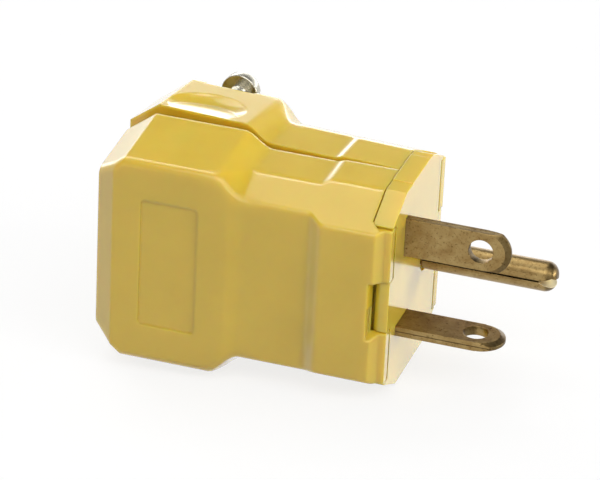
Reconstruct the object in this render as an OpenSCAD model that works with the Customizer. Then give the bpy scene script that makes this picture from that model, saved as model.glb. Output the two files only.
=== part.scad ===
// Straight-blade grounding plug with a moulded housing in two hinged halves.
// X runs along the blades, Y across the seam, Z up. The origin is the middle of the mating face.

/* [Housing] */
// Length of the housing behind the mating face
body_length = 48; // [44:0.1:52]
// Half width of the front section
front_half_width = 15.6; // [15.2:0.1:16.5]
// Half width of the waist
waist_half_width = 13.9; // [13.4:0.1:14.4]
// Half width of the head
head_half_width = 14.6; // [14.2:0.1:15.2]
// Half width of the front lip beside the face
lip_half_width = 14.2; // [14:0.05:14.6]
// Half height of the front section
front_half_height = 16.65; // [16.4:0.05:17.2]
// Half height of the waist
waist_half_height = 16.2; // [15.8:0.05:16.4]
// Half height of the head at the seam
head_half_height = 18.6; // [18:0.1:19.4]
// Fall of the head's top and bottom towards the sides, in degrees
head_draft = 5.3; // [3:0.1:7]
// Radius along the head's long edges
head_edge_radius = 1.4; // [1:0.1:2]
// Half width of the flat top of the front section
top_flat = 7.5; // [6.5:0.1:8.5]
// Slope of the long chamfers, in degrees
chamfer_slope = 25.7; // [22:0.1:30]
// Reach of the rounding between the flat top and the long chamfers
top_rounding = 0.8; // [0.3:0.1:1.5]
// Reach of the rounding between the long chamfers and the sides
side_rounding = 0.6; // [0.3:0.1:1.2]
// Wall thickness
wall = 2.2; // [1.8:0.1:2.6]
// Gap between the closed halves
seam_gap = 0.2; // [0.1:0.05:0.4]

/* [Housing stations] */
// Distance from the face to the end of the front lip
lip_length = 1.1; // [0.8:0.1:1.6]
// Distance from the face to the full width of the front section
lip_slope_end = 2.3; // [1.8:0.1:2.6]
// Distance from the face to the start of the side step
side_step_start = 10.6; // [10:0.1:11.5]
// Distance from the face to the end of the side step
side_step_end = 13.6; // [12.8:0.1:14.5]
// Distance from the face to the start of the top step
top_step_start = 11.8; // [11.5:0.1:12.4]
// Distance from the face to the end of the top step
top_step_end = 13.4; // [12.8:0.1:14]
// Distance from the face to the end of the waist
waist_end = 23.8; // [23:0.1:25]
// Distance from the face to the start of the head
head_start = 28.5; // [27:0.1:30]
// Distance from the face to the end of the waist's sides
waist_side_end = 23.6; // [22.5:0.1:24.5]
// Distance from the face to the start of the head's sides
head_side_start = 26.6; // [26:0.1:28]
// Length of the head's back chamfer, top and bottom
back_chamfer_length = 4.8; // [3.5:0.1:6]
// Height of the head's back chamfer
back_chamfer_height = 3.7; // [3:0.1:5]
// Length of the upright bevels at the back
back_bevel_length = 3.2; // [2:0.1:4.5]
// Width of the upright bevels at the back
back_bevel_width = 2.3; // [1.5:0.1:3.5]

/* [Label panel] */
// Length of the panel along the plug
panel_length = 9.2; // [7:0.1:11]
// Height of the panel
panel_height = 21.7; // [16:0.1:24]
// Depth of the panel
panel_depth = 0.3; // [0.1:0.05:0.6]
// Corner radius of the panel
panel_radius = 0.7; // [0.3:0.1:2]
// Distance of the panel's middle from the face
panel_centre = 35.6; // [33:0.1:38]

/* [Hinges] */
// Distance of the hinge axis from the face
hinge_depth = 1.25; // [1:0.05:1.6]
// Distance of the hinge axis from the middle of the face
hinge_half_width = 12.7; // [12.4:0.05:13]
// Radius of the hinge knuckles
knuckle_radius = 1.25; // [1:0.05:1.5]
// Radius of the moulded hinge pins
hinge_pin_radius = 0.65; // [0.5:0.05:0.8]
// Length of each hinge pin inside the lug
hinge_pin_length = 2; // [1.5:0.1:3]
// Radial play of the hinge pins
hinge_play = 0.05; // [0.02:0.01:0.1]
// Half height of the lug that shows in the lip's notch
lug_half_height = 4.25; // [4:0.05:5]
// Clearance between the flange's sides and the lips
lip_clearance = 0.12; // [0.1:0.01:0.3]
// Clearance between a lug and the lip's notch
lug_clearance = 0.15; // [0.1:0.01:0.3]
// Slope of the notch's back wall towards the outside
notch_slope = 0.35; // [0:0.05:0.6]
// Fall of the notch's lower wall towards the outside
notch_fall = 1.1; // [0:0.1:1.5]
// Height of the housing knuckle beside the lug
knuckle_height = 2; // [1.5:0.1:3]
// Angle that the far half stands open
ajar = 4.2; // [0:0.1:8]

/* [Face insert] */
// Thickness of the front flange
flange = 3.3; // [3:0.1:4]
// Gap between the flange and the near half
flange_gap = 0.15; // [0.1:0.05:0.5]
// Gap between the flange and the far half
far_flange_gap = 0.15; // [0.05:0.05:0.5]
// Half width of the flange
face_half_width = 12.4; // [12:0.05:12.5]
// Half width of the flange's flat top
face_flat = 7.2; // [6.5:0.1:7.5]
// Half width of the strips along the flange's top and bottom
strip_half_width = 13.55; // [13.3:0.05:14]
// Thickness of a strip's ends
strip_edge = 0.3; // [0.2:0.05:0.6]
// Clearance between a strip's end and the lip below it
strip_clearance = 0.15; // [0.1:0.05:0.3]
// Cut of a strip's back corners, along the plug
strip_cut = 0.4; // [0.2:0.05:1.2]
// Reach of the raised pad on the upper strip towards the near side
pad_near = 3.9; // [3:0.1:6]
// Reach of the raised pad on the upper strip towards the far side
pad_far = 5.6; // [3:0.1:6]
// Height of the raised pad
pad_height = 0.15; // [0.05:0.05:0.3]
// Length of the contact carrier behind the flange
carrier_length = 7.5; // [6:0.1:9]
// Half width of the contact carrier
carrier_half_width = 10.9; // [10:0.1:11]
// Half height of the contact carrier
carrier_half_height = 13.4; // [12.5:0.1:13.6]
// Thickness of the contact retainer
retainer = 2.5; // [2:0.1:3.5]

/* [Contacts] */
// Width of a blade
blade_width = 6.35; // [6.2:0.05:6.5]
// Thickness of a blade
blade_thickness = 1.52; // [1.4:0.02:1.6]
// Length of a blade in front of the face
blade_length = 16.7; // [15.9:0.1:18.2]
// Radius of a blade's rounded end
blade_end_radius = 3.9; // [3.3:0.1:5]
// Bevel on a blade's end
blade_bevel = 0.85; // [0.2:0.05:1]
// Radius of the hole in a blade
blade_hole_radius = 1.98; // [1.6:0.02:2.1]
// Distance of a blade's hole from the face
blade_hole_place = 12; // [11:0.1:12.5]
// Width of the open seam along a folded blade's edge
fold_seam = 0.12; // [0.05:0.01:0.3]
// Depth of the open seam along a folded blade's edge
fold_depth = 0.3; // [0.1:0.05:0.6]
// Spacing between the blades and the ground pin
row_spacing = 11.89; // [11.8:0.01:12]
// Distance of the hot blade below the ground pin
hot_drop = 6.35; // [6.2:0.05:6.5]
// Distance of the neutral blade above the ground pin
neutral_rise = 8.75; // [8.6:0.05:9]
// Radius of the ground pin
ground_radius = 2.41; // [2.35:0.01:2.45]
// Radius of the hollow in the ground pin
ground_hollow = 1.3; // [1:0.05:1.6]
// Length of the ground pin in front of the face
ground_length = 21.5; // [20.6:0.1:22.2]
// Cut in the ground pin's radius for its neck inside the insert
ground_neck = 0.5; // [0.3:0.05:0.6]
// Gap between the face and the ground pin's full radius
ground_stand = 0.05; // [0.02:0.01:0.1]
// Clearance around the ground pin in the face
ground_ring = 0.45; // [0.3:0.05:0.6]
// Depth of that clearance behind the face
ground_ring_depth = 0.6; // [0.4:0.1:1]
// Width of the ground pin's seam
ground_seam = 0.3; // [0.2:0.05:0.6]
// Length of the open notch at the ground pin's tip
ground_notch = 2.8; // [1.5:0.1:4]
// Length of the ground pin's closed nose
ground_nose = 3.4; // [2.5:0.1:4.5]
// Clearance of the contacts in their slots
contact_clearance = 0.1; // [0.05:0.01:0.2]

/* [Terminals] */
// Length of the terminal tabs behind the retainer
tab_length = 8.6; // [7:0.1:10]
// Distance of the terminal screws from the retainer
terminal_place = 4.7; // [4:0.1:6]
// Radius of a terminal screw's shank
terminal_radius = 1.6; // [1.3:0.05:1.8]
// Radius of a terminal screw's head
terminal_head_radius = 2.9; // [2.5:0.1:3.2]
// Height of a terminal screw's head
terminal_head = 2; // [1.5:0.1:2.5]
// Width of the slot in a terminal screw's head
terminal_slot = 0.8; // [0.6:0.1:1]
// Thickness of the clamp plates
clamp_thickness = 1.1; // [0.8:0.1:1.5]
// Width of the clamp plates
clamp_width = 6.2; // [5.5:0.1:6.6]
// Gap that a clamp plate leaves for the wire
clamp_gap = 0.3; // [0.2:0.05:1]

/* [Assembly screws] */
// Distance of the assembly screws from the face
screw_place = 36.6; // [34:0.1:38]
// Depth of the assembly screws below the head's top
screw_sink = 3.7; // [3.5:0.1:4.4]
// Radius of an assembly screw's shank
screw_radius = 1.5; // [1.4:0.05:1.75]
// Radius of an assembly screw's head
screw_head_radius = 3.15; // [2.8:0.05:3.4]
// Height of an assembly screw's head
screw_head = 2.4; // [1.8:0.1:3]
// Width of the slot in an assembly screw's head
screw_slot = 0.9; // [0.6:0.1:1.2]
// Length of an assembly screw under its head
screw_length = 19.4; // [16:0.1:22]
// Clearance between the backed-out screws' tips and the nuts
tip_gap = 0.25; // [0.1:0.05:0.5]
// Radial clearance of the screws in the far half
screw_clearance = 0.2; // [0.1:0.05:0.4]
// Place of the screw seats on the far half
seat_place = 13.1; // [12.5:0.1:13.8]
// Radius of the screw seats
seat_radius = 4.9; // [4:0.1:5.5]
// Radius of the screw posts
post_radius = 3.3; // [2.9:0.1:4]
// Outer radius of a nut
nut_radius = 2.4; // [2.1:0.1:2.8]
// Length of a nut
nut_length = 6.5; // [5:0.1:8]
// Depth of a nut below the seam
nut_sink = 0.1; // [0:0.05:0.5]

/* [Far half's scoops] */
// Length of a scoop along the plug
scoop_length = 13; // [10:0.1:14]
// Width of a scoop across the plug
scoop_width = 10.6; // [9:0.1:12]
// Depth of a scoop
scoop_depth = 1.15; // [0.8:0.05:1.4]
// Distance from the seam to a scoop's middle
scoop_middle = 4; // [3:0.1:5]
// Distance of the scoop's ramp from the seam
scoop_start = 0.4; // [0.2:0.1:1]
// Slope of the scoop's ramp, in degrees
scoop_ramp = 8.5; // [6:0.5:12]

/* [Cord inlet] */
// Radius of the cord inlet
inlet_radius = 8.5; // [7:0.1:10]
// Radius between the cord grip ribs
grip_radius = 6.5; // [5.5:0.1:8]
// Thickness of the cord grip ribs
rib = 1.6; // [1.2:0.1:2.2]
// Flare of the cord inlet
inlet_flare = 0.8; // [0.3:0.1:1.5]
// Thickness of the back wall
back_wall = 2.8; // [2.2:0.1:4]

/* [Hidden] */
$fn = 48;
overlap = 0.1;
corner_steps = 3;
edge_steps = 2 * corner_steps + 1;
blend_steps = 10;
chamfer_tan = tan(chamfer_slope);
draft_tan = tan(head_draft);
lip_inner = face_half_width + lip_clearance;
notch_half_height = lug_half_height + lug_clearance;
notch_back = hinge_depth + knuckle_radius + lug_clearance;
lug_half_width = hinge_half_width + knuckle_radius;
hinge_bore = hinge_pin_radius + hinge_play;
groove_radius = knuckle_radius + lug_clearance;
blade_row = -row_spacing / 2;
ground_row = row_spacing / 2;
carrier_back = -(flange + carrier_length);
retainer_back = carrier_back - retainer;
tab_back = retainer_back - tab_length;
terminal_x = retainer_back - terminal_place;
shoulder = 1.4;
shoulder_rim = 0.8;
shank_spare = 2;
tab_bore = terminal_radius + contact_clearance;
hot_tab = blade_row + blade_width / 2 - blade_thickness / 2;
hot_tab_drop = 7;
hot_terminal_z = -hot_drop - 4;
ground_tab_height = 6.4;
hollow_back = carrier_back + 3;
hot_foot = 1.2;
ground_tip = ground_radius * 0.8;
ground_notch_half = ground_radius * 0.33;
ground_notch_floor = ground_radius * 0.4;
screw_rise = head_half_height - screw_sink;
nut_face = -seam_gap / 2 - nut_sink;
screw_tip = hinge_half_width + (nut_face + tip_gap - hinge_half_width
    - sin(ajar) * (screw_place - hinge_depth - screw_radius)) / cos(ajar);
screw_seat = screw_tip + screw_length;
strip_half_height = front_half_height - (strip_half_width - face_flat) * chamfer_tan - strip_edge;
lip_half_height = strip_half_height - strip_clearance;
strip_turn = strip_half_width - strip_cut;
scoop_radius = scoop_width * scoop_width / (8 * scoop_depth) + scoop_depth / 2;
scoop_bow = scoop_length * scoop_length / (8 * scoop_depth) + scoop_depth / 2;
rib_places = [30.6, 41.4];
retainer_screw_y = 0;
retainer_screw_z = 10.6;
retainer_screw_radius = 1.2;
retainer_head_radius = 2.2;
retainer_head = 1.3;
retainer_slot = 0.6;
retainer_screw_room = 0.4;
retainer_screw_length = 7;
reach = 60;

yellow = "#dcb43c";
cream = "#e6c65a";
brass = "#9a8450";
steel = "#b9bcc0";
dark_brass = "#b08d3c";

// Width cut at both ends and half height of the head, along the plug
end_cuts = [[-body_length, -back_bevel_width], [-body_length + back_bevel_length, 0],
    [-lip_slope_end, 0], [-lip_length, lip_half_width - front_half_width]];
head_heights = [[-body_length, head_half_height - back_chamfer_height],
    [-body_length + back_chamfer_length, head_half_height]];
blend_stations = [for (i = [0 : blend_steps]) -head_start + (head_start - waist_side_end) * i / blend_steps];
front_stations = [for (i = [0 : blend_steps])
    -side_step_end + (side_step_end - side_step_start) * i / blend_steps];

// Soft step from 0 to 1 on the way to the face, between two distances from it
function smooth(t) = t * t * (3 - 2 * t);
function step(x, far, near) = smooth(max(0, min(1, (x + far) / (far - near))));
function head_share(x) = 1 - step(x, head_start, waist_end);
function body_width(x) = head_half_width + lookup(x, end_cuts)
    + (waist_half_width - head_half_width) * step(x, head_side_start, waist_side_end)
    + (front_half_width - waist_half_width) * step(x, side_step_end, side_step_start);
function front_height(x) = waist_half_height
    + (front_half_height - waist_half_height) * step(x, top_step_end, top_step_start);

// Rounded corner at p between the directions u and v, reaching d along both
function rounded(p, u, v, d) = [for (i = [0 : corner_steps])
    let (t = i / corner_steps) p + u * d * (1 - t) * (1 - t) + v * d * t * t];

// Upper right outline of the front and the waist, as [y, z], with an even inset t
function front_upper(x, t) =
    let (w = body_width(x) - t,
        h = front_height(x) - t,
        base = front_half_height - t / cos(chamfer_slope),
        edge = top_flat + (base - h) / chamfer_tan,
        side = base - (w - top_flat) * chamfer_tan,
        fall = [cos(chamfer_slope), -sin(chamfer_slope)])
    concat([[0, h]], rounded([edge, h], [-1, 0], fall, top_rounding),
        rounded([w, side], -fall, [0, -1], side_rounding));

// Upper right outline of the head, as [y, z], with an even inset t
function head_upper(x, t) =
    let (w = body_width(x) - t,
        h = lookup(x, head_heights) - t / cos(head_draft),
        r = max(head_edge_radius - t, 0.5),
        cy = w - r,
        cz = h - cy * draft_tan - r / cos(head_draft))
    concat([[0, h]], [for (i = [0 : edge_steps])
        let (a = (90 - head_draft) * (1 - i / edge_steps)) [cy + r * cos(a), cz + r * sin(a)]]);

function upper(x, t) =
    let (s = head_share(x), a = head_upper(x, t), b = front_upper(x, t))
    [for (i = [0 : len(a) - 1]) a[i] * s + b[i] * (1 - s)];

// Closed half outline at one station, its seam side moved to y = seam
function outline(x, t, seam) =
    let (u = upper(x, t), n = len(u))
    [for (i = [0 : 2 * n - 1]) i < n ? [x, i == 0 ? seam : u[i][0], u[i][1]]
        : [x, i == 2 * n - 1 ? seam : u[2 * n - 1 - i][0], -u[2 * n - 1 - i][1]]];

// Solid through the half outlines at the given stations
module loft(stations, t, seam) {
    rings = [for (x = stations) outline(x, t, seam)];
    m = len(rings);
    n = len(rings[0]);
    sides = [for (i = [0 : m - 2]) for (j = [0 : n - 1]) for (k = [0 : 1])
        let (a = i * n + j, b = i * n + (j + 1) % n, c = a + n, d = b + n)
        k == 0 ? [a, b, d] : [a, d, c]];
    back = [for (j = [n - 1 : -1 : 0]) j];
    front = [for (j = [0 : n - 1]) (m - 1) * n + j];
    polyhedron(points = [for (r = rings) for (p = r) p], faces = concat(sides, [back, front]),
        convexity = 4);
}

// Flat outline in Y and Z, drawn along X
module along_x(x0, x1) {
    translate([x0, 0, 0])
        rotate([90, 0, 90])
            linear_extrude(height = x1 - x0)
                children();
}

// Flat outline in X and Y, drawn along Z
module along_z(z0, z1) {
    translate([0, 0, z0])
        linear_extrude(height = z1 - z0)
            children();
}

// Flat outline in X and Z, drawn along Y
module along_y(y0, y1) {
    translate([0, y1, 0])
        rotate([90, 0, 0])
            linear_extrude(height = y1 - y0)
                children();
}

module rod_y(x, z, r, y0, y1) {
    translate([x, y1, z])
        rotate([90, 0, 0])
            cylinder(r = r, h = y1 - y0);
}

module rod_z(x, y, r, z0, z1) {
    translate([x, y, z0])
        cylinder(r = r, h = z1 - z0);
}

module rod_x(y, z, r, x0, x1) {
    translate([x0, y, z])
        rotate([0, 90, 0])
            cylinder(r = r, h = x1 - x0);
}

module block(x0, x1, y0, y1, z0, z1) {
    translate([x0, y0, z0])
        cube([x1 - x0, y1 - y0, z1 - z0]);
}

// Cord grip ribs and screw posts inside a half
module inner_ribs() {
    difference() {
        union() {
            for (p = rib_places)
                block(-p - rib / 2, -p + rib / 2, seam_gap, reach, -reach, reach);
            for (s = [-1, 1])
                rod_y(-screw_place, s * screw_rise, post_radius, seam_gap / 2, reach);
        }
        rod_x(0, 0, grip_radius, -body_length, 0);
    }
}

// Space of the flange and its strips, with a gap behind them
module flange_space(gap) {
    back = -(flange + gap);
    run = front_half_width - strip_turn;
    block(back, reach, -lip_inner, lip_inner, -reach, reach);
    for (s = [0, 1])
        mirror([0, 0, s])
            for (t = [0, 1])
                mirror([0, t, 0])
                    along_z(lip_half_height, reach)
                        polygon([[back, 0], [back, strip_turn], [back + run, strip_turn + run],
                            [reach, strip_turn + run], [reach, 0]]);
}

// Notch in the lip around a lug, open to the outside
module lug_notch() {
    outside = 2 * front_half_width - lug_half_width;
    slope = notch_slope * (outside - lug_half_width) / (front_half_width - lug_half_width);
    fall = notch_fall * (outside - lug_half_width) / (front_half_width - lug_half_width);
    along_z(-notch_half_height, notch_half_height)
        polygon([[-notch_back, 0], [-notch_back, lug_half_width], [-notch_back - slope, outside],
            [overlap, outside], [overlap, 0]]);
    along_x(-notch_back - notch_slope, overlap)
        polygon([[lug_half_width, -notch_half_height], [outside, -notch_half_height - fall], [outside, 0],
            [lug_half_width, 0]]);
}

// One closed half on the +Y side, open at the front, with its hinge knuckles and pins
module half() {
    difference() {
        loft(concat([-body_length, -body_length + back_bevel_length, -body_length + back_chamfer_length],
            blend_stations, front_stations, [-lip_slope_end, -lip_length, 0]), 0, seam_gap / 2);
        difference() {
            loft(concat([-body_length + back_wall, -body_length + back_bevel_length,
                -body_length + back_chamfer_length],
                blend_stations, front_stations, [-lip_slope_end]), wall, -overlap);
            inner_ribs();
        }
        block(-lip_slope_end - overlap, reach, -reach, lip_inner, -lip_half_height, lip_half_height);
        lug_notch();
        rod_x(0, 0, inlet_radius, -body_length - overlap, -body_length + back_wall + overlap);
        translate([-body_length - overlap, 0, 0])
            rotate([0, 90, 0])
                cylinder(r1 = inlet_radius + inlet_flare + overlap, r2 = inlet_radius,
                    h = inlet_flare + overlap);
    }
    for (s = [0, 1])
        mirror([0, 0, s]) {
            rod_z(-hinge_depth, hinge_half_width, knuckle_radius, notch_half_height,
                notch_half_height + knuckle_height);
            rod_z(-hinge_depth, hinge_half_width, hinge_pin_radius, notch_half_height - hinge_pin_length,
                notch_half_height + overlap);
        }
}

// Turns the far half and its screws open about the far hinge
module opened() {
    translate([-hinge_depth, hinge_half_width, 0])
        rotate([0, 0, -ajar])
            translate([hinge_depth, -hinge_half_width, 0])
                children();
}

// Scoop in the head's top over a screw of the far half: a ramp from the seam to a spindle-shaped wall
module scoop() {
    rise = scoop_radius - scoop_depth;
    intersection() {
        translate([-screw_place, scoop_middle + rise * sin(head_draft),
            head_half_height - scoop_middle * draft_tan + rise * cos(head_draft)])
            rotate([0, 90, 0])
                rotate_extrude()
                    intersection() {
                        translate([scoop_radius - scoop_bow, 0])
                            circle(r = scoop_bow);
                        translate([0, -scoop_bow])
                            square([scoop_bow, 2 * scoop_bow]);
                    }
        translate([-screw_place, scoop_start, head_half_height - scoop_start * draft_tan])
            rotate([-head_draft - scoop_ramp, 0, 0])
                block(-scoop_length, scoop_length, -scoop_width, 2 * scoop_width, 0, scoop_width);
    }
}

module near_shell() {
    color(yellow)
        difference() {
            mirror([0, 1, 0])
                half();
            flange_space(flange_gap);
            for (s = [-1, 1])
                rod_y(-screw_place, s * screw_rise, nut_radius, nut_face - nut_length, overlap);
            translate([-panel_centre, 0, 0])
                along_y(-reach, -head_half_width + panel_depth)
                    union() {
                        square([panel_length, panel_height - 2 * panel_radius], center = true);
                        square([panel_length - 2 * panel_radius, panel_height], center = true);
                        for (i = [-1, 1])
                            for (j = [-1, 1])
                                translate([i * (panel_length / 2 - panel_radius),
                                    j * (panel_height / 2 - panel_radius)])
                                    circle(r = panel_radius);
                    }
        }
}

module far_shell() {
    color(yellow)
        difference() {
            opened()
                difference() {
                    half();
                    for (s = [0, 1])
                        mirror([0, 0, s]) {
                            rod_y(-screw_place, screw_rise, screw_radius + screw_clearance, -overlap,
                                reach);
                            rod_y(-screw_place, screw_rise, seat_radius, seat_place, reach);
                            scoop();
                        }
                }
            flange_space(far_flange_gap);
        }
}

// Upper and lower strips, with their back corners cut
module strips() {
    edge = strip_half_height + strip_edge;
    intersection() {
        along_x(-flange, 0)
            difference() {
                polygon([[-face_flat, front_half_height], [face_flat, front_half_height],
                    [strip_half_width, edge],
                    [strip_half_width, -edge], [face_flat, -front_half_height], [-face_flat,
                    -front_half_height],
                    [-strip_half_width, -edge], [-strip_half_width, edge]]);
                square([2 * reach, 2 * strip_half_height], center = true);
            }
        along_z(-reach, reach)
            polygon([[-flange, strip_turn], [-flange + strip_cut, strip_half_width], [0, strip_half_width],
                [0, -strip_half_width], [-flange + strip_cut, -strip_half_width], [-flange, -strip_turn]]);
    }
    block(-flange, 0, -pad_near, pad_far, strip_half_height, front_half_height + pad_height);
}

module carrier_outline() {
    h = carrier_half_height;
    w = carrier_half_width;
    side = h - (w - face_flat) * chamfer_tan;
    polygon([[-face_flat, h], [face_flat, h], [w, side], [w, -side], [face_flat, -h], [-face_flat, -h],
        [-w, -side], [-w, side]]);
}

// Slots for the three contacts, with the given clearance
module contact_slots(x0, x1, c) {
    w = blade_width / 2 + c;
    t = blade_thickness / 2 + c;
    block(x0, x1, blade_row - w, blade_row + w, -hot_drop - t, -hot_drop + t);
    block(x0, x1, blade_row - t, blade_row + t, neutral_rise - w, neutral_rise + w);
}

module face_insert() {
    color(cream)
        difference() {
            union() {
                strips();
                difference() {
                    block(-flange, 0, -face_half_width, face_half_width, -strip_half_height - overlap,
                        strip_half_height + overlap);
                    for (s = [-1, 1])
                        rod_z(-hinge_depth, s * hinge_half_width, groove_radius, -strip_half_height,
                            strip_half_height);
                }
                along_x(carrier_back, -flange + overlap)
                    carrier_outline();
                for (s = [-1, 1]) {
                    rod_z(-hinge_depth, s * hinge_half_width, knuckle_radius, -lug_half_height,
                        lug_half_height);
                    mirror([0, s > 0 ? 0 : 1, 0]) {
                        block(-hinge_depth - knuckle_radius, 0, face_half_width - 2 * groove_radius,
                            hinge_half_width,
                            -lug_half_height, lug_half_height);
                        block(-hinge_depth, 0, face_half_width - 2 * groove_radius, lug_half_width,
                            -lug_half_height, lug_half_height);
                    }
                }
            }
            for (s = [-1, 1])
                rod_z(-hinge_depth, s * hinge_half_width, hinge_bore, -lug_half_height - overlap,
                    lug_half_height + overlap);
            contact_slots(-reach, reach, contact_clearance);
            contact_slots(-reach, carrier_back + shoulder + contact_clearance,
                shoulder_rim + contact_clearance);
            rod_x(ground_row, 0, ground_radius - ground_neck + contact_clearance, -reach, reach);
            rod_x(ground_row, 0, ground_radius + ground_ring, -ground_ring_depth, reach);
            rod_x(ground_row, 0, ground_radius + shoulder_rim + contact_clearance, -reach,
                carrier_back + shoulder + contact_clearance);
            for (s = [-1, 1])
                rod_x(retainer_screw_y, s * retainer_screw_z, retainer_screw_radius, carrier_back - overlap,
                    carrier_back + retainer_screw_length - retainer + retainer_screw_room);
        }
}

module contact_retainer() {
    color(yellow)
        difference() {
            along_x(retainer_back, carrier_back)
                carrier_outline();
            contact_slots(-reach, reach, contact_clearance);
            block(-reach, reach, ground_row - blade_thickness / 2 - contact_clearance,
                ground_row + blade_thickness / 2 + contact_clearance,
                -ground_tab_height / 2 - contact_clearance, ground_tab_height / 2 + contact_clearance);
            for (s = [-1, 1])
                rod_x(retainer_screw_y, s * retainer_screw_z, retainer_screw_radius + contact_clearance,
                    -reach, reach);
        }
}

// Folded blade along X from x0, wide in Y, with its seam on +Y, a bevelled end and shoulders
module blade(x0) {
    w = blade_width / 2;
    t = blade_thickness / 2;
    difference() {
        union() {
            block(x0, blade_length - blade_end_radius, -w, w, -t, t);
            block(carrier_back, carrier_back + shoulder, -w - shoulder_rim, w + shoulder_rim,
                -t - shoulder_rim, t + shoulder_rim);
            intersection() {
                block(blade_length - blade_end_radius - overlap, blade_length, -w, w, -t, t);
                translate([blade_length - blade_end_radius, 0, 0])
                    rotate_extrude()
                        polygon([[0, -t], [blade_end_radius - blade_bevel, -t], [blade_end_radius, -t / 3],
                            [blade_end_radius, t / 3], [blade_end_radius - blade_bevel, t], [0, t]]);
            }
        }
        rod_z(blade_hole_place, 0, blade_hole_radius, -reach, reach);
        block(0, reach, w - fold_depth, reach, -fold_seam / 2, fold_seam / 2);
    }
}

module hot_blade() {
    color(brass)
        difference() {
            union() {
                translate([0, blade_row, -hot_drop])
                    mirror([0, 1, 0])
                        blade(retainer_back - hot_foot);
                block(tab_back, retainer_back - overlap, hot_tab - blade_thickness / 2,
                    hot_tab + blade_thickness / 2,
                    -hot_drop - hot_tab_drop, -hot_drop + blade_thickness / 2);
            }
            rod_y(terminal_x, hot_terminal_z, terminal_radius, -reach, reach);
        }
}

module neutral_blade() {
    color(brass)
        difference() {
            translate([0, blade_row, neutral_rise])
                rotate([90, 0, 0])
                    blade(tab_back);
            rod_y(terminal_x, neutral_rise, terminal_radius, -reach, reach);
        }
}

module ground_pin() {
    color(brass)
        difference() {
            union() {
                translate([0, ground_row, 0])
                    rotate([0, 90, 0])
                        rotate_extrude()
                            union() {
                                translate([0, ground_stand])
                                    square([ground_radius, ground_length - ground_tip - ground_stand]);
                                translate([0, carrier_back])
                                    square([ground_radius - ground_neck,
                                        ground_stand - carrier_back + overlap]);
                                translate([0, carrier_back])
                                    square([ground_radius + shoulder_rim, shoulder]);
                                square([ground_radius - ground_tip, ground_length]);
                                translate([ground_radius - ground_tip, ground_length - ground_tip])
                                    intersection() {
                                        circle(r = ground_tip);
                                        square(ground_tip);
                                    }
                            }
                block(tab_back, carrier_back + shoulder, ground_row - blade_thickness / 2,
                    ground_row + blade_thickness / 2,
                    -ground_tab_height / 2, ground_tab_height / 2);
            }
            rod_x(ground_row, 0, ground_hollow, hollow_back, ground_length - ground_nose);
            block(hollow_back, reach, ground_row - 2 * ground_radius, ground_row, -ground_seam / 2,
                ground_seam / 2);
            along_y(ground_row - 2 * ground_radius, ground_row - ground_notch_floor)
                polygon([[ground_length - ground_notch, 0], [ground_length + overlap, ground_notch_half],
                    [ground_length + overlap, -ground_notch_half]]);
            rod_y(terminal_x, 0, terminal_radius, -reach, reach);
        }
}

// Terminal screw with its head towards -Y, its shank from y0 to the head's underside y1
module terminal_screw(x, z, y0, y1) {
    difference() {
        union() {
            rod_y(x, z, terminal_radius, y1 - overlap, y0);
            rod_y(x, z, terminal_head_radius, y1 - terminal_head, y1);
        }
        block(x - terminal_head_radius, x + terminal_head_radius, y1 - terminal_head - overlap,
            y1 - terminal_head / 2,
            z - terminal_slot / 2, z + terminal_slot / 2);
    }
}

module clamp_plate(x, z, y1) {
    difference() {
        block(x - clamp_width / 2, x + clamp_width / 2, y1 - clamp_thickness, y1, z - clamp_width / 2,
            z + clamp_width / 2);
        rod_y(x, z, tab_bore, -reach, reach);
    }
}

hot_front = hot_tab - blade_thickness / 2;
neutral_front = blade_row - blade_thickness / 2;
ground_front = -ground_row - blade_thickness / 2;
head_stand = clamp_gap + clamp_thickness;
shank_beyond = blade_thickness + shank_spare;

module hot_clamp() {
    color(steel)
        clamp_plate(terminal_x, hot_terminal_z, hot_front - clamp_gap);
}

module neutral_clamp() {
    color(steel)
        clamp_plate(terminal_x, neutral_rise, neutral_front - clamp_gap);
}

module ground_clamp() {
    color(steel)
        mirror([0, 1, 0])
            clamp_plate(terminal_x, 0, ground_front - clamp_gap);
}

module hot_screw() {
    color(dark_brass)
        terminal_screw(terminal_x, hot_terminal_z, hot_front + shank_beyond, hot_front - head_stand);
}

module neutral_screw() {
    color(steel)
        terminal_screw(terminal_x, neutral_rise, neutral_front + shank_beyond, neutral_front - head_stand);
}

module ground_screw() {
    color("#3f7d4a")
        mirror([0, 1, 0])
            terminal_screw(terminal_x, 0, ground_front + shank_beyond, ground_front - head_stand);
}

module retainer_screw(z) {
    color(steel)
        difference() {
            union() {
                rod_x(retainer_screw_y, z, retainer_screw_radius, retainer_back - overlap,
                    retainer_back + retainer_screw_length);
                rod_x(retainer_screw_y, z, retainer_head_radius, retainer_back - retainer_head,
                    retainer_back);
            }
            block(retainer_back - retainer_head - overlap, retainer_back - retainer_head / 2,
                retainer_screw_y - retainer_head_radius, retainer_screw_y + retainer_head_radius,
                z - retainer_slot / 2, z + retainer_slot / 2);
        }
}

module upper_retainer_screw() {
    retainer_screw(retainer_screw_z);
}

module lower_retainer_screw() {
    retainer_screw(-retainer_screw_z);
}

// Backed-out screw of the far half, turned open with it
module assembly_screw(z) {
    color(steel)
        opened()
            difference() {
                union() {
                    rod_y(-screw_place, z, screw_radius, screw_seat - screw_length, screw_seat + overlap);
                    translate([-screw_place, screw_seat, z])
                        rotate([-90, 0, 0])
                            rotate_extrude()
                                polygon([[0, 0], [screw_head_radius, 0], [screw_head_radius,
                                    screw_head * 0.6],
                                    [screw_head_radius * 0.8, screw_head], [0, screw_head]]);
                }
                block(-screw_place - screw_head_radius, -screw_place + screw_head_radius,
                    screw_seat + screw_head / 2,
                    screw_seat + screw_head + overlap, z - screw_slot / 2, z + screw_slot / 2);
            }
}

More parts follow.
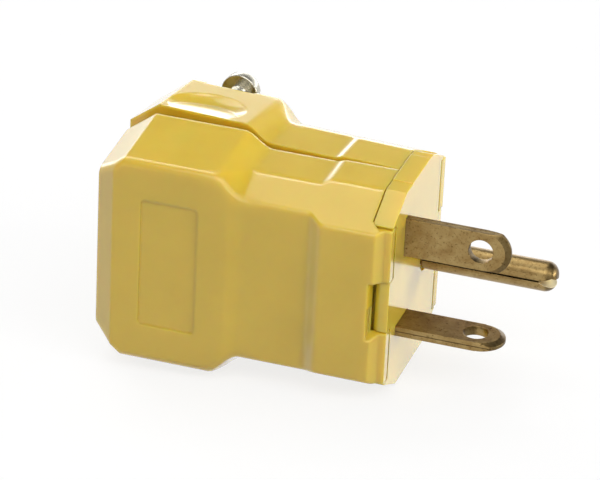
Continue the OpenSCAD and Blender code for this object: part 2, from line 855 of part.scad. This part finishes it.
module upper_assembly_screw() {
    assembly_screw(screw_rise);
}

module lower_assembly_screw() {
    assembly_screw(-screw_rise);
}

module nut(z) {
    color(dark_brass)
        difference() {
            rod_y(-screw_place, z, nut_radius, nut_face - nut_length, nut_face);
            rod_y(-screw_place, z, screw_radius, -reach, reach);
        }
}

module upper_nut() {
    nut(screw_rise);
}

module lower_nut() {
    nut(-screw_rise);
}

near_shell();
far_shell();
face_insert();
contact_retainer();
hot_blade();
neutral_blade();
ground_pin();
hot_clamp();
neutral_clamp();
ground_clamp();
hot_screw();
neutral_screw();
ground_screw();
upper_retainer_screw();
lower_retainer_screw();
upper_assembly_screw();
lower_assembly_screw();
upper_nut();
lower_nut();
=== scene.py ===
"""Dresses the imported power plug: moulded nylon, aged brass and plated steel, in studio light."""

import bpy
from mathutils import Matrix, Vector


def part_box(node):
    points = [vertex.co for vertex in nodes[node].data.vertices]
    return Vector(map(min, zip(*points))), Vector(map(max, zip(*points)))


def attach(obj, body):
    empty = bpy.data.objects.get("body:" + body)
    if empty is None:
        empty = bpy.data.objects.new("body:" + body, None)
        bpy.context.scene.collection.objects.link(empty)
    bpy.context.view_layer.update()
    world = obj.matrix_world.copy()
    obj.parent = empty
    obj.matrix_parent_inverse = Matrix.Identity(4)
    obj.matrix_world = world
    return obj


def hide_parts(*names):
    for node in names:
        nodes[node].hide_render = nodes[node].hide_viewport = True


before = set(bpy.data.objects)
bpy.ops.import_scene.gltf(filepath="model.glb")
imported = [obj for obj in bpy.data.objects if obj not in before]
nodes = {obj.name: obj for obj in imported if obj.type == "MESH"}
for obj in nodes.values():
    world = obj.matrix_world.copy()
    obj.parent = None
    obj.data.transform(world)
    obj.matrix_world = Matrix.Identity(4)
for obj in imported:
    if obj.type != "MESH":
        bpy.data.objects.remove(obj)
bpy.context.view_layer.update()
import math

import bmesh
import bpy
from mathutils import Matrix, Vector

MM = 0.001

# Distance of the head's flat sides from the mating face
HEAD_START = 28.5 * MM


# Node helpers

def new_material(name):
    m = bpy.data.materials.new(name)
    m.use_nodes = True
    return m, m.node_tree, m.node_tree.nodes["Principled BSDF"]


def add(tree, kind, **values):
    n = tree.nodes.new(kind)
    for key, value in values.items():
        setattr(n, key, value)
    return n


def noise(tree, feature, detail=2.0, roughness=0.5, stretch=(1, 1, 1), distortion=0.0):
    """Noise over the piece's own coordinates, with features of about the given size in metres."""
    coords = add(tree, "ShaderNodeTexCoord")
    mapping = add(tree, "ShaderNodeMapping")
    mapping.inputs["Scale"].default_value = stretch
    tree.links.new(coords.outputs["Object"], mapping.inputs["Vector"])
    n = add(tree, "ShaderNodeTexNoise")
    n.inputs["Scale"].default_value = 1 / feature
    n.inputs["Detail"].default_value = detail
    n.inputs["Roughness"].default_value = roughness
    n.inputs["Distortion"].default_value = distortion
    tree.links.new(mapping.outputs["Vector"], n.inputs["Vector"])
    return n.outputs["Fac"]


def ramp(tree, fac, stops):
    """Colour ramp from (place, colour) stops."""
    n = add(tree, "ShaderNodeValToRGB")
    for i, (place, colour) in enumerate(stops):
        e = n.color_ramp.elements[i] if i < 2 else n.color_ramp.elements.new(place)
        e.position = place
        e.color = (*colour, 1)
    tree.links.new(fac, n.inputs["Fac"])
    return n.outputs["Color"]


def spread(tree, fac, low, high, a=0.3, b=0.7):
    """Maps fac from a..b to low..high."""
    n = add(tree, "ShaderNodeMapRange")
    for key, value in (("From Min", a), ("From Max", b), ("To Min", low), ("To Max", high)):
        n.inputs[key].default_value = value
    tree.links.new(fac, n.inputs["Value"])
    return n.outputs["Result"]


def combine(tree, operation, first, second):
    """Output of a math node on two outputs."""
    n = add(tree, "ShaderNodeMath", operation=operation)
    tree.links.new(first, n.inputs[0])
    tree.links.new(second, n.inputs[1])
    return n.outputs[0]


# Span along X over which the housing's wider rounding grows
WIDE_GROWS = (20 * MM, 23 * MM)

# Its limits: axis, share before, share after, start and end of the change
WIDE_LIMITS = (
    ("X", 1, 0, HEAD_START, 31.5 * MM),
    ("Y", 0, 1, 4 * MM, 8 * MM),
    ("Z", 0, 1, 8 * MM, 12 * MM),
)
BEVEL_SAMPLES = 8


def corner_radius(tree, edge, corner):
    """Edge radius that grows to corner where the slopes between waist and head meet the chamfers."""
    coords = add(tree, "ShaderNodeTexCoord")
    size = add(tree, "ShaderNodeVectorMath", operation="ABSOLUTE")
    tree.links.new(coords.outputs["Object"], size.inputs[0])
    place = add(tree, "ShaderNodeSeparateXYZ")
    tree.links.new(size.outputs["Vector"], place.inputs["Vector"])
    share = spread(tree, place.outputs["X"], 0, corner - edge, *WIDE_GROWS)
    for axis, before, after, start, end in WIDE_LIMITS:
        limit = spread(tree, place.outputs[axis], before, after, start, end)
        share = combine(tree, "MULTIPLY", share, limit)
    radius = add(tree, "ShaderNodeMath", operation="ADD")
    tree.links.new(share, radius.inputs[0])
    radius.inputs[1].default_value = edge
    return radius.outputs[0]


def surface(tree, shader, edge, layers, corner=None):
    """Softens edges over the radius edge, then chains bumps from (height, distance, strength) layers."""
    soft = add(tree, "ShaderNodeBevel", samples=BEVEL_SAMPLES)
    soft.inputs["Radius"].default_value = edge
    if corner:
        tree.links.new(corner_radius(tree, edge, corner), soft.inputs["Radius"])
    last = soft.outputs["Normal"]
    for height, distance, strength in layers:
        n = add(tree, "ShaderNodeBump")
        n.inputs["Distance"].default_value = distance
        n.inputs["Strength"].default_value = strength
        tree.links.new(height, n.inputs["Height"])
        tree.links.new(last, n.inputs["Normal"])
        last = n.outputs["Normal"]
    tree.links.new(last, shader.inputs["Normal"])


# Nylon

FLOW_MARKS = 9 * MM
FLOW_STOPS = (0.3, 0.7)
GLOSS_MARKS = 3 * MM
GLOSS_RANGE = (0.17, 0.25)
TOOL_GRAIN = 0.35 * MM
SINK_MARKS = 6 * MM

# Height and strength of a bump
TOOL_GRAIN_BUMP = (0.01 * MM, 0.4)
SINK_BUMP = (0.06 * MM, 0.25)

# Inputs of the shader
NYLON_SKIN = {
    "IOR": 1.42,
    "Coat Weight": 1.0,
    "Coat IOR": 1.42,
    "Coat Roughness": 0.12,
    "Subsurface Weight": 0.65,
    "Subsurface Radius": (1.0, 0.6, 0.15),
    "Subsurface Scale": 3.5 * MM,
}


def nylon(name, light, dark, edge, corner=None):
    """Moulded nylon: faint flow mottling, fine tool texture and a glossy skin."""
    m, t, s = new_material(name)
    flow = noise(t, FLOW_MARKS, detail=3)
    t.links.new(ramp(t, flow, zip(FLOW_STOPS, (dark, light))), s.inputs["Base Color"])
    gloss = noise(t, GLOSS_MARKS, detail=4)
    t.links.new(spread(t, gloss, *GLOSS_RANGE), s.inputs["Roughness"])
    for key, value in NYLON_SKIN.items():
        s.inputs[key].default_value = value
    grain = noise(t, TOOL_GRAIN, detail=3)
    sink = noise(t, SINK_MARKS, detail=1)
    surface(t, s, edge, ((grain, *TOOL_GRAIN_BUMP), (sink, *SINK_BUMP)), corner)
    return m


SHELL = nylon("yellow_nylon", light=(0.67, 0.465, 0.036), dark=(0.63, 0.435, 0.03),
              edge=0.65 * MM, corner=3.0 * MM)
INSERT = nylon("insert_nylon", light=(0.68, 0.475, 0.038), dark=(0.65, 0.45, 0.032), edge=0.25 * MM)

# Metals

PATCHES = 2.2 * MM
PATCH_STOPS = (0.32, 0.66)
PITS = 0.45 * MM
PIT_STOPS = (0.33, 0.47)
PIT_TINT = (0.45, 0.4, 0.33)
NO_TINT = (1, 1, 1)
# Facing along +X over which the metal ends darken: a painted dark reflection
PAINTED_SHADE_FACING = (0.1, 0.35)
ROUGH_MARKS = 0.9 * MM
SCRATCHES = 0.25 * MM
SCRATCH_BUMP = (0.01 * MM, 0.5)
DENTS = 0.6 * MM
DENT_BUMP = (0.012 * MM, 0.3)
METAL_EDGE = 0.12 * MM
ALONG_X = (0.15, 1, 1)
ALONG_Y = (1, 0.3, 1)

# Places of the colour sockets on a Mix node
MIX_A = 6
MIX_B = 7
MIX_RESULT = 2


def metal(name, clean, dull, grain, rough, pitted, end=1.0):
    """Bare metal: dull patches, scratches along the grain and pits; faces towards +X are darkened to the
    share end, a painted dark reflection.
    """
    m, t, s = new_material(name)
    s.inputs["Metallic"].default_value = 1
    blotches = noise(t, PATCHES, detail=5, roughness=0.65, distortion=0.6)
    patches = ramp(t, blotches, zip(PATCH_STOPS, (dull, clean)))
    specks = noise(t, PITS, detail=4, roughness=0.7)
    pits = ramp(t, specks, zip(PIT_STOPS, (PIT_TINT, NO_TINT)))
    worn = add(t, "ShaderNodeMix", data_type="RGBA", blend_type="MULTIPLY")
    worn.inputs["Factor"].default_value = pitted
    t.links.new(patches, worn.inputs[MIX_A])
    t.links.new(pits, worn.inputs[MIX_B])
    coords = add(t, "ShaderNodeTexCoord")
    facing = add(t, "ShaderNodeSeparateXYZ")
    t.links.new(coords.outputs["Normal"], facing.inputs["Vector"])
    # Painted dark reflection: faces towards +X are multiplied down to the share end
    painted_dark_ends = add(t, "ShaderNodeMix", data_type="RGBA", blend_type="MULTIPLY")
    painted_dark_ends.inputs[MIX_B].default_value = (end, end, end, 1)
    t.links.new(spread(t, facing.outputs["X"], 0, 1, *PAINTED_SHADE_FACING), painted_dark_ends.inputs["Factor"])
    t.links.new(worn.outputs[MIX_RESULT], painted_dark_ends.inputs[MIX_A])
    t.links.new(painted_dark_ends.outputs[MIX_RESULT], s.inputs["Base Color"])
    smears = noise(t, ROUGH_MARKS, detail=4, roughness=0.7)
    t.links.new(spread(t, smears, *rough), s.inputs["Roughness"])
    fine = noise(t, SCRATCHES, detail=3, roughness=0.6, stretch=grain)
    dents = noise(t, DENTS, detail=2)
    surface(t, s, METAL_EDGE, ((fine, *SCRATCH_BUMP), (dents, *DENT_BUMP)))
    return m


# Aged brass, with a painted dark reflection on its ends facing +X (end=0.45)
AGED_BRASS_PAINTED_ENDS = metal("aged_brass", clean=(0.38, 0.27, 0.11), dull=(0.27, 0.17, 0.06), grain=ALONG_X,
             rough=(0.26, 0.44), pitted=0.9, end=0.45)
FRESH = metal("fresh_brass", clean=(0.9, 0.82, 0.58), dull=(0.82, 0.72, 0.46), grain=ALONG_X,
              rough=(0.4, 0.55), pitted=0.1)
BRASS = metal("yellow_brass", clean=(0.72, 0.55, 0.24), dull=(0.6, 0.44, 0.17), grain=ALONG_Y,
              rough=(0.2, 0.36), pitted=0.2)
STEEL = metal("plated_steel", clean=(0.64, 0.61, 0.51), dull=(0.44, 0.42, 0.34), grain=ALONG_Y,
              rough=(0.16, 0.28), pitted=0.2)
GREEN = metal("green_screw", clean=(0.12, 0.36, 0.16), dull=(0.07, 0.24, 0.10), grain=ALONG_Y,
              rough=(0.25, 0.4), pitted=0.2)

# Looks of the nodes; the rest are plated steel
LOOKS = {
    "near_shell": SHELL, "far_shell": SHELL, "face_insert": INSERT, "contact_retainer": INSERT,
    "hot_blade": AGED_BRASS_PAINTED_ENDS, "neutral_blade": AGED_BRASS_PAINTED_ENDS, "ground_pin": AGED_BRASS_PAINTED_ENDS,
    "hot_screw": BRASS, "upper_nut": BRASS, "lower_nut": BRASS, "ground_screw": GREEN,
}


# Edges and smooth shading, with modifiers only

def smooth_group(name, degrees):
    """Geometry nodes that shade smooth across edges flatter than the given angle."""
    g = bpy.data.node_groups.new(name, "GeometryNodeTree")
    g.interface.new_socket("Geometry", in_out="INPUT", socket_type="NodeSocketGeometry")
    g.interface.new_socket("Geometry", in_out="OUTPUT", socket_type="NodeSocketGeometry")
    start = add(g, "NodeGroupInput")
    end = add(g, "NodeGroupOutput")
    angle = add(g, "GeometryNodeInputMeshEdgeAngle")
    flat = add(g, "FunctionNodeCompare", data_type="FLOAT", operation="LESS_EQUAL")
    flat.inputs[1].default_value = math.radians(degrees)
    faces = add(g, "GeometryNodeSetShadeSmooth", domain="FACE")
    edges = add(g, "GeometryNodeSetShadeSmooth", domain="EDGE")
    g.links.new(start.outputs[0], faces.inputs["Geometry"])
    g.links.new(faces.outputs["Geometry"], edges.inputs["Geometry"])
    g.links.new(angle.outputs["Unsigned Angle"], flat.inputs[0])
    g.links.new(flat.outputs["Result"], edges.inputs["Shade Smooth"])
    g.links.new(edges.outputs["Geometry"], end.inputs[0])
    return g


SMOOTH = smooth_group("smooth_by_angle", 24.5)
ROUND = smooth_group("smooth_round", 40)
WELD_GAP = 0.002 * MM
FLAT_ANGLE = math.radians(0.5)
BEVEL_ANGLE = math.radians(28)
BEVEL_SEGMENTS = 3


def weld_points(obj):
    """Joins points that coincide."""
    weld = obj.modifiers.new("weld", "WELD")
    weld.merge_threshold = WELD_GAP


def round_edges(obj, width, group):
    """Softens the edges of a piece and smooths its curved faces."""
    weld_points(obj)
    flat = obj.modifiers.new("flat", "DECIMATE")
    flat.decimate_type = "DISSOLVE"
    flat.angle_limit = FLAT_ANGLE
    bevel = obj.modifiers.new("bevel", "BEVEL")
    bevel.width = width
    bevel.segments = BEVEL_SEGMENTS
    bevel.limit_method = "ANGLE"
    bevel.angle_limit = BEVEL_ANGLE
    bevel.use_clamp_overlap = True
    bevel.miter_outer = "MITER_ARC"
    smooth = obj.modifiers.new("smooth", "NODES")
    smooth.node_group = group
    normals = obj.modifiers.new("normals", "WEIGHTED_NORMAL")
    normals.keep_sharp = True


EDGES = {
    "near_shell": 0.35 * MM, "far_shell": 0.35 * MM,
    "face_insert": 0.2 * MM, "contact_retainer": 0.2 * MM,
}
METAL_BEVEL = 0.08 * MM
for name, obj in nodes.items():
    obj.data.materials.clear()
    obj.data.materials.append(LOOKS.get(name, STEEL))
    round_edges(obj, EDGES.get(name, METAL_BEVEL), ROUND if name.endswith("shell") else SMOOTH)


# Threaded screws in place of the plain CAD shanks

AJAR = math.radians(4.2)
FAR_SCREW_AXIS = Vector((math.sin(AJAR), math.cos(AJAR), 0))
SIDES = 40
ROWS_A_TURN = 8
PITCH = 0.8 * MM
THREAD_DEPTH = 0.61 * PITCH / 2
HEAD_LIP = 0.12 * MM

# Shares of the head's height and radius where its top starts to round, and half way over
CROWN_START = 0.6
CROWN_HEIGHT = 0.82
CROWN_RADIUS = 0.93
TOP_RADIUS = 0.8

# Length of the slot's cutter in head radii
CUTTER_LENGTH = 2.2

# Shank radius, head radius, head height and slot width
ASSEMBLY_SIZES = (1.5 * MM, 3.15 * MM, 2.4 * MM, 0.9 * MM)
TERMINAL_SIZES = (1.6 * MM, 2.9 * MM, 2 * MM, 0.8 * MM)


def screw_mesh(name, shank, length, profile):
    """Screw along +Z with its tip at 0: a threaded shank, then the head's (radius, height) profile."""
    bm = bmesh.new()
    step = PITCH / ROWS_A_TURN
    rows = int(length / step)
    angles = [2 * math.pi * k / SIDES for k in range(SIDES)]
    rings = []
    for i in range(rows + 1):
        z = length * i / rows
        taper = min(1, z / PITCH)
        ring = []
        for k, a in enumerate(angles):
            turn = (z / PITCH - k / SIDES) % 1
            crest = 1 - abs(2 * turn - 1)
            r = shank - THREAD_DEPTH * (1 - crest * taper)
            ring.append(bm.verts.new((r * math.cos(a), r * math.sin(a), z)))
        rings.append(ring)
    for r, z in profile:
        rings.append([bm.verts.new((r * math.cos(a), r * math.sin(a), z)) for a in angles])
    for low, high in zip(rings, rings[1:]):
        for k in range(SIDES):
            n = (k + 1) % SIDES
            bm.faces.new((low[k], low[n], high[n], high[k]))
    bm.faces.new(rings[0][::-1])
    bm.faces.new(rings[-1])
    mesh = bpy.data.meshes.new(name)
    bm.to_mesh(mesh)
    bm.free()
    return mesh


def cut_away(obj, cutter, walls):
    """Cuts the cutter out of a stand-in and removes it; walls says how the cut gets its material."""
    cut = obj.modifiers.new("cut", "BOOLEAN")
    cut.object = cutter
    cut.material_mode = walls
    bpy.context.view_layer.update()
    done = bpy.data.meshes.new_from_object(obj.evaluated_get(bpy.context.evaluated_depsgraph_get()))
    obj.modifiers.clear()
    obj.data = done
    bpy.data.objects.remove(cutter)


def cut_slot(obj, radius, top, depth, width):
    """Cuts a straight driver slot across the head."""
    bpy.ops.mesh.primitive_cube_add(size=1)
    cutter = bpy.context.object
    cutter.scale = (CUTTER_LENGTH * radius, width, 2 * depth)
    cutter.location = (0, 0, top)
    cut_away(obj, cutter, "INDEX")


def threaded_screw(node, axis, sizes, body, finish):
    """Threaded stand-in for a CAD screw, with the place and the length of that node's own points."""
    cad = nodes[node]
    shank, head_radius, head, slot = sizes
    axis = Vector(axis).normalized()
    up = Vector((0, 0, 1))
    side = up.cross(axis)
    points = [cad.matrix_world @ v.co for v in cad.data.vertices]
    ends = [(min(p.dot(d) for p in points), max(p.dot(d) for p in points)) for d in (side, up, axis)]
    length = ends[2][1] - ends[2][0]
    seat = length - head
    profile = (
        (head_radius - HEAD_LIP, seat),
        (head_radius, seat + HEAD_LIP),
        (head_radius, seat + CROWN_START * head),
        (CROWN_RADIUS * head_radius, seat + CROWN_HEIGHT * head),
        (TOP_RADIUS * head_radius, length),
    )
    obj = bpy.data.objects.new(node + "_threaded", screw_mesh(node, shank, seat, profile))
    bpy.context.scene.collection.objects.link(obj)
    cut_slot(obj, head_radius, length, head / 2, slot)
    place = side * sum(ends[0]) / 2 + up * sum(ends[1]) / 2 + axis * ends[2][0]
    obj.matrix_world = Matrix.Translation(place) @ Matrix((side, up, axis)).transposed().to_4x4()
    obj.data.materials.append(finish)
    smooth = obj.modifiers.new("smooth", "NODES")
    smooth.node_group = SMOOTH
    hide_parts(node)
    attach(obj, body)


for node in ("upper_assembly_screw", "lower_assembly_screw"):
    threaded_screw(node, FAR_SCREW_AXIS, ASSEMBLY_SIZES, "far_half", STEEL)
TERMINALS = (
    ("hot_screw", -1, BRASS, "yellow_brass"),
    ("neutral_screw", -1, STEEL, "plated_steel"),
    ("ground_screw", 1, GREEN, "green_screw"),
)
for node, way, finish, slot_name in TERMINALS:
    threaded_screw(node, (0, way, 0), TERMINAL_SIZES, "insert", finish)

# Ground pin with its folded tip split open: depth of the split and the slopes of its walls

SPLIT_DEPTH = 2.9 * MM
SPLIT_TOP = 0.05
SPLIT_BOTTOM = 0.46
SPLIT_MARGIN = 1 * MM
PIN_BEVEL = 0.1 * MM


def split_tip(node, body):
    """Copy of the CAD pin with a wedge cut right across its end; both walls of the wedge fall forwards."""
    cad = nodes[node]
    low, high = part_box(node)
    start = high[0] - SPLIT_DEPTH
    reach = SPLIT_DEPTH + SPLIT_MARGIN
    outline = ((start, 0), (start + reach, -SPLIT_BOTTOM * reach), (start + reach, -SPLIT_TOP * reach))
    width = (low[1] - SPLIT_MARGIN, high[1] + SPLIT_MARGIN)
    bm = bmesh.new()
    ends = [[bm.verts.new((x, y, z)) for x, z in outline] for y in width]
    bm.faces.new(ends[0])
    bm.faces.new(ends[1][::-1])
    for k in range(len(outline)):
        n = (k + 1) % len(outline)
        bm.faces.new((ends[0][n], ends[0][k], ends[1][k], ends[1][n]))
    bmesh.ops.recalc_face_normals(bm, faces=bm.faces)
    mesh = bpy.data.meshes.new("wedge")
    mesh.materials.append(FRESH)
    bm.to_mesh(mesh)
    bm.free()
    wedge = bpy.data.objects.new("wedge", mesh)
    bpy.context.scene.collection.objects.link(wedge)
    obj = bpy.data.objects.new(node + "_split", cad.data.copy())
    bpy.context.scene.collection.objects.link(obj)
    obj.matrix_world = cad.matrix_world
    weld_points(obj)
    cut_away(obj, wedge, "TRANSFER")
    round_edges(obj, PIN_BEVEL, SMOOTH)
    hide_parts(node)
    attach(obj, body)


split_tip("ground_pin", "insert")

# Floor, tilted to the plane that the plug rests on: the head's and the front's bottom edges

REST_BACK = Vector((-HEAD_START, 0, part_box("near_shell")[0][2]))
REST_FRONT = Vector((0, 0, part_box("face_insert")[0][2]))
FLOOR_SIZE = 4
FLOOR_GAP = 0.05 * MM
PAPER_GRAIN = 20 * MM
PAPER_TONES = (0.9, 0.93)
PAPER_ROUGHNESS = 0.9
PAPER_BOUNCE = 0.58
SEEN_WHITE = 0.8


def paper():
    """White paper: reflections see plain white, the camera sees a share of white and the soft shadow."""
    m, t, s = new_material("paper")
    path = add(t, "ShaderNodeLightPath")
    bounce = spread(t, path.outputs["Is Diffuse Ray"], 1.0, PAPER_BOUNCE, 0, 1)
    grain = spread(t, noise(t, PAPER_GRAIN, detail=2), *PAPER_TONES)
    t.links.new(combine(t, "MULTIPLY", grain, bounce), s.inputs["Base Color"])
    s.inputs["Roughness"].default_value = PAPER_ROUGHNESS
    mirrored = combine(t, "MAXIMUM", path.outputs["Is Glossy Ray"], path.outputs["Is Transmission Ray"])
    seen = spread(t, path.outputs["Is Camera Ray"], 0, SEEN_WHITE, 0, 1)
    share = combine(t, "MAXIMUM", seen, mirrored)
    glow = add(t, "ShaderNodeEmission")
    mix = add(t, "ShaderNodeMixShader")
    t.links.new(share, mix.inputs[0])
    t.links.new(s.outputs["BSDF"], mix.inputs[1])
    t.links.new(glow.outputs["Emission"], mix.inputs[2])
    t.links.new(mix.outputs[0], t.nodes["Material Output"].inputs["Surface"])
    return m


slope = (REST_FRONT.z - REST_BACK.z) / (REST_FRONT.x - REST_BACK.x)
bpy.ops.mesh.primitive_plane_add(size=FLOOR_SIZE)
floor = bpy.context.object
floor.name = "floor"
floor.data.materials.append(paper())
floor.rotation_euler = (0, -math.atan(slope), 0)
floor.location = REST_BACK + Vector((0, 0, -FLOOR_GAP))

# World: a white horizon under a darker ceiling, and less of it for diffuse rays

HORIZON = 1.0
CEILING = 0.25
CEILING_STARTS = (0.26, 0.44)
DIFFUSE_FILL = 0.17
world = bpy.data.worlds.new("studio")
bpy.context.scene.world = world
world.use_nodes = True
wt = world.node_tree
back = wt.nodes["Background"]
back.inputs["Color"].default_value = (1, 1, 1, 1)
direction = add(wt, "ShaderNodeTexCoord")
rise = add(wt, "ShaderNodeSeparateXYZ")
wt.links.new(direction.outputs["Generated"], rise.inputs["Vector"])
rays = add(wt, "ShaderNodeLightPath")
fill = add(wt, "ShaderNodeMix")
wt.links.new(rays.outputs["Is Diffuse Ray"], fill.inputs["Factor"])
wt.links.new(spread(wt, rise.outputs["Z"], HORIZON, CEILING, *CEILING_STARTS), fill.inputs["A"])
fill.inputs["B"].default_value = DIFFUSE_FILL
wt.links.new(fill.outputs["Result"], back.inputs["Strength"])


# Softboxes all round

def softbox(name, place, aim, width, height, radiance):
    """Soft rectangular lamp of the given radiance, facing its aim."""
    lamp = bpy.data.lights.new(name, "AREA")
    lamp.shape = "RECTANGLE"
    lamp.size = width
    lamp.size_y = height
    lamp.energy = radiance * math.pi * width * height
    obj = bpy.data.objects.new(name, lamp)
    bpy.context.scene.collection.objects.link(obj)
    obj.location = place
    obj.rotation_euler = (Vector(aim) - Vector(place)).to_track_quat("-Z", "Y").to_euler()


# Name, place, width, height and radiance
LAMPS = (
    ("key", (0.6, -0.25, 0.5), 0.34, 0.34, 5.4),
    ("top_front", (0.1, -0.42, 0.62), 0.8, 0.4, 2.6),
    ("overhead", (-0.2, 0.1, 0.72), 0.4, 0.4, 1.6),
    ("ridge", (-0.2, 0.31, 0.65), 0.5, 0.08, 5.0),
    ("front", (0.1, -0.95, 0.52), 1.1, 0.8, 0.4),
    ("right_low", (0.7, 0.25, 0.1), 0.3, 0.2, 18.0),
    ("left_back", (-0.6, 0.4, 0.5), 0.6, 0.6, 2.0),
    ("low_back", (-0.2, 0.6, 0.06), 1.4, 0.14, 2.4),
)
MIDDLE = (-0.02, 0, 0)
for name, place, width, height, radiance in LAMPS:
    softbox(name, place, MIDDLE, width, height, radiance)

# Camera, fitted to the blades and the outline

FOCAL_PX = 3800
IMAGE_WIDTH_PX = 600
SENSOR_MM = 36
CLIP_START = 0.01
EYE = Vector((0.1353295, -0.5048868, 0.2748137))
RIGHT = Vector((0.9486, 0.31341, 0.04394))
DOWN = Vector((0.1815, -0.42501, -0.8868))
FORWARD = Vector((-0.25926, 0.8492, -0.46005))
cam = bpy.data.cameras.new("camera")
cam.sensor_width = SENSOR_MM
cam.lens = FOCAL_PX / IMAGE_WIDTH_PX * SENSOR_MM
cam.clip_start = CLIP_START
camera = bpy.data.objects.new("camera", cam)
bpy.context.scene.collection.objects.link(camera)
camera.matrix_world = Matrix.Translation(EYE) @ Matrix((RIGHT, -DOWN, -FORWARD)).transposed().to_4x4()
bpy.context.scene.camera = camera
bpy.context.scene.view_settings.view_transform = "Standard"
